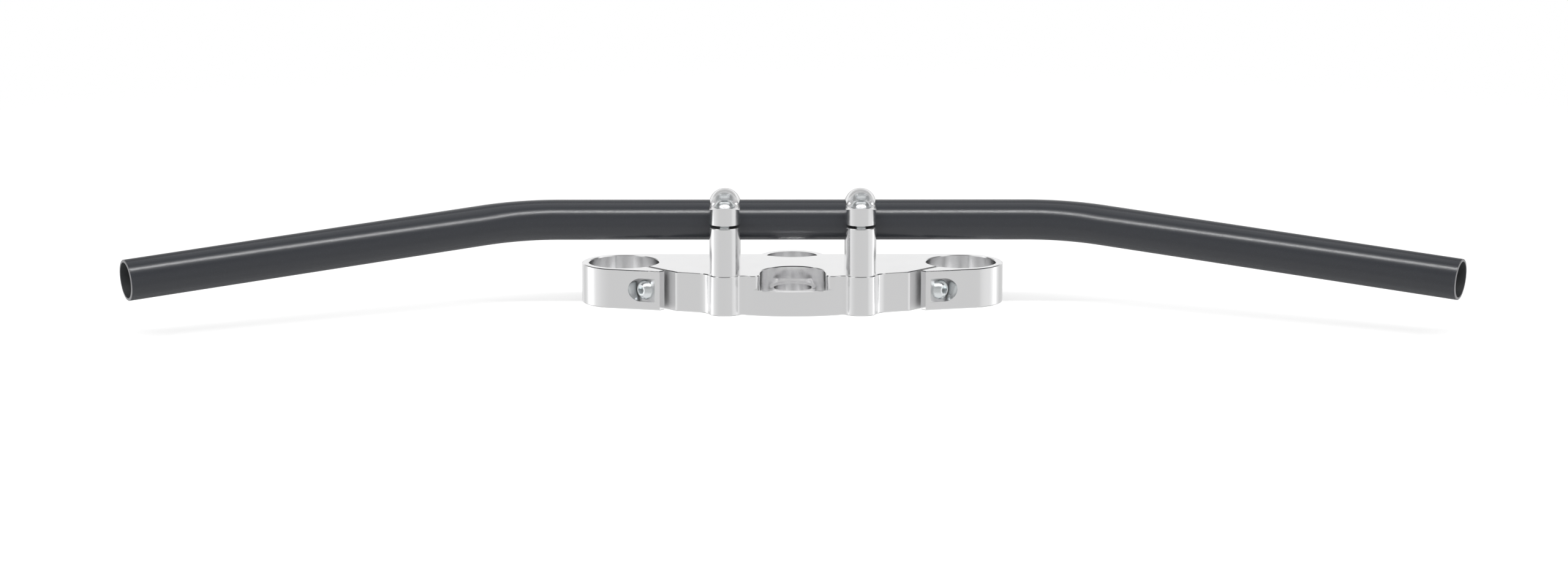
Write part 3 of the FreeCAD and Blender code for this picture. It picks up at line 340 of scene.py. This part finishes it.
aluminium = machined_aluminium("polished_aluminium")
zinc = metal("zinc_plate", ZINC_COLOUR, ZINC_ROUGHNESS, *ZINC_CLOUD)
coat = satin_coat("bar_coat", BAR_COLOUR, BAR_ROUGHNESS)
bare = metal("bare_tube_end", BARE_COLOUR, BARE_ROUGHNESS, *BARE_CLOUD)
inside = satin_coat("tube_inside", INSIDE_COLOUR, INSIDE_ROUGHNESS)
BAR_FINISHES = (coat, bare, inside)
COATED, BARE, INSIDE = range(3)
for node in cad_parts:
    if "screw" in node or "washer" in node:
        dress(node, zinc)
    elif node != "handlebar":
        dress(node, aluminium)


# Handlebar


def bar_line():
    """Points and tangents of the bar's centre line from its left end to its right end."""
    sweep, roll = math.radians(BAR_SWEEP), math.radians(BAR_ROLL)
    tangent = BAR_BEND * math.tan(sweep / 2)
    back = Vector((0, -math.cos(roll), -math.sin(roll)))
    middle = Vector((0, BAR_FORWARD, BAR_HEIGHT))
    half = []
    centre = middle + Vector((BAR_VERTEX - tangent, 0, 0)) + back * BAR_BEND
    for step in range(BEND_STEPS + 1):
        turn = sweep * step / BEND_STEPS
        outward = Vector((math.sin(turn), 0, 0)) - back * math.cos(turn)
        along = Vector((math.cos(turn), 0, 0)) + back * math.sin(turn)
        half.append((centre + outward * BAR_BEND, along))
    along = half[-1][1]
    half.append((half[-1][0] + along * (BAR_ARM - tangent), along))
    mirror = Vector((-1, 1, 1))
    left = [(point * mirror, along * Vector((1, -1, -1))) for point, along in reversed(half)]
    return left + half


def bar_rings():
    """Rings round the tube's wall, outside and back inside: point, tangent, radius and finish."""
    stations = bar_line()
    first, first_along = stations[0]
    last, last_along = stations[-1]
    bore = BAR_RADIUS - BAR_WALL
    cut = BAR_END_BREAK
    rings = [(first + first_along * cut, first_along, BAR_RADIUS, COATED)]
    rings += [(point, along, BAR_RADIUS, COATED) for point, along in stations[1:-1]]
    rings += [(last - last_along * cut, last_along, BAR_RADIUS, COATED),
              (last, last_along, BAR_RADIUS - cut, BARE),
              (last, last_along, bore + cut, BARE),
              (last - last_along * cut, last_along, bore, INSIDE)]
    rings += [(point, along, bore, INSIDE) for point, along in reversed(stations[1:-1])]
    rings += [(first + first_along * cut, first_along, bore, INSIDE),
              (first, first_along, bore + cut, BARE),
              (first, first_along, BAR_RADIUS - cut, BARE)]
    return rings


def make_bar():
    """A smooth tube with broken end edges, on the CAD bar's centre line."""
    rings = bar_rings()
    corners, faces, finishes = [], [], []
    for point, along, radius, _ in rings:
        up = (Vector((0, 0, 1)) - along * along.z).normalized()
        side = along.cross(up)
        for n in range(BAR_SIDES):
            angle = 2 * math.pi * n / BAR_SIDES
            corners.append(point + up * radius * math.cos(angle) + side * radius * math.sin(angle))
    for r, ring in enumerate(rings):
        after = (r + 1) % len(rings)
        low, high = r * BAR_SIDES, after * BAR_SIDES
        for n in range(BAR_SIDES):
            m = (n + 1) % BAR_SIDES
            faces.append((low + n, low + m, high + m, high + n))
            finishes.append(max(ring[3], rings[after][3]))
    mesh = bpy.data.meshes.new("bar")
    mesh.from_pydata(corners, [], faces)
    for material in BAR_FINISHES:
        mesh.materials.append(material)
    for face, finish in zip(mesh.polygons, finishes):
        face.material_index = finish
        face.use_smooth = finish != BARE
    bar = bpy.data.objects.new("bar", mesh)
    bpy.context.collection.objects.link(bar)
    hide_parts("handlebar")
    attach(bar, "root")


make_bar()


# Stage


def upper_studio(tree, y, z):
    """Brightness above the horizon: a room that darkens upwards, with a pale back."""
    room = turn_into(tree, z, CEILING_SPAN, (ROOM_LEVEL, CEILING_LEVEL))
    shade = turn_into(tree, y, BACK_SPAN, (room, BACK_LEVEL))
    fade = turn_into(tree, z, BACK_FADE_SPAN, (1.0, BACK_FADE))
    return compute(tree, "MULTIPLY", shade, fade)


def lower_studio(tree, x, y, z):
    """Brightness below the horizon: by azimuth at first, and an even one steeply down."""
    azimuth = compute(tree, "ARCTAN2", x, compute(tree, "MULTIPLY", y, -1.0))
    share = turn_into(tree, azimuth, (-math.pi, math.pi), (0.0, 1.0), "LINEAR")
    ring = add_node(tree, "ShaderNodeValToRGB", Fac=share)
    stops = ring.color_ramp.elements
    while len(stops) < len(LOW_LEVELS):
        stops.new(0.5)
    for stop, (degrees, level) in zip(stops, LOW_LEVELS):
        stop.position = (degrees + 180) / 360
        stop.color = (level, level, level, 1)
    steep = turn_into(tree, z, DOWN_SPAN, (0.0, 1.0))
    down = turn_into(tree, y, DOWN_BACK_SPAN, (DOWN_LEVEL, DOWN_BACK_LEVEL))
    return mix_colours(tree, steep, ring.outputs["Color"], down)


def make_world():
    """White to the camera; to the metal, a studio that changes with the direction."""
    world = bpy.data.worlds.new("studio")
    bpy.context.scene.world = world
    world.use_nodes = True
    tree = world.node_tree
    tree.nodes.clear()
    toward = add_node(tree, "ShaderNodeTexCoord").outputs["Generated"]
    x, y, z = add_node(tree, "ShaderNodeSeparateXYZ", Vector=toward).outputs
    above = turn_into(tree, z, HORIZON_SPAN, (0.0, 1.0))
    studio = mix_colours(tree, above, lower_studio(tree, x, y, z), upper_studio(tree, y, z))
    mirrored = add_node(tree, "ShaderNodeBackground", Color=studio)
    fill = add_node(tree, "ShaderNodeBackground", Color=WHITE, Strength=FILL_LEVEL)
    seen = add_node(tree, "ShaderNodeBackground", Color=WHITE, Strength=1.0)
    paths = add_node(tree, "ShaderNodeLightPath").outputs
    lit = mix_shaders(tree, paths["Is Glossy Ray"], fill.outputs[0], mirrored.outputs[0])
    shown = mix_shaders(tree, paths["Is Camera Ray"], lit, seen.outputs[0])
    add_node(tree, "ShaderNodeOutputWorld", Surface=shown)


def make_floor():
    """Pale floor whose shadow the camera sees, lightened; metal mirrors the studio instead."""
    bpy.ops.mesh.primitive_plane_add(size=FLOOR_SIZE)
    floor = bpy.context.object
    floor.name = "floor"
    material, tree, _ = new_material("floor")
    tree.nodes.clear()
    far = measure(tree, "LENGTH", spot_on_object(tree))
    lift = turn_into(tree, far, FLOOR_GLOW_SPAN, (FLOOR_GLOW, 1.0))
    matt = add_node(tree, "ShaderNodeBsdfDiffuse", Color=(*FLOOR_COLOUR, 1))
    glow = add_node(tree, "ShaderNodeEmission", Strength=1.0)
    to_camera = add_node(tree, "ShaderNodeLightPath").outputs["Is Camera Ray"]
    glowing = compute(tree, "MULTIPLY", to_camera, lift)
    surface = mix_shaders(tree, glowing, matt.outputs[0], glow.outputs[0])
    add_node(tree, "ShaderNodeOutputMaterial", Surface=surface)
    floor.visible_glossy = False
    floor.data.materials.append(material)


def make_lamp(name, azimuth, elevation, width, height, radiance):
    """A rectangular lamp aimed at the object from a direction round it."""
    light = bpy.data.lights.new(name, "AREA")
    light.shape = "RECTANGLE"
    light.size = width
    light.size_y = height
    light.energy = radiance * math.pi * width * height
    lamp = bpy.data.objects.new(name, light)
    bpy.context.collection.objects.link(lamp)
    away = direction(azimuth, elevation)
    lamp.location = CAMERA_TARGET + away * LAMP_DISTANCE
    lamp.rotation_euler = away.to_track_quat("Z", "Y").to_euler()


def make_camera():
    data = bpy.data.cameras.new("camera")
    data.sensor_fit = "HORIZONTAL"
    data.sensor_width = SENSOR_WIDTH
    data.lens = SENSOR_WIDTH * FOCAL_PIXELS / PHOTO_WIDTH
    camera = bpy.data.objects.new("camera", data)
    bpy.context.collection.objects.link(camera)
    away = direction(CAMERA_AZIMUTH, CAMERA_ELEVATION)
    camera.location = CAMERA_TARGET + away * CAMERA_DISTANCE
    camera.rotation_euler = away.to_track_quat("Z", "Y").to_euler()
    bpy.context.scene.camera = camera


make_world()
make_floor()
for name, lamp in LAMPS.items():
    make_lamp(name, *lamp)
make_camera()
bpy.context.scene.view_settings.view_transform = "Standard"
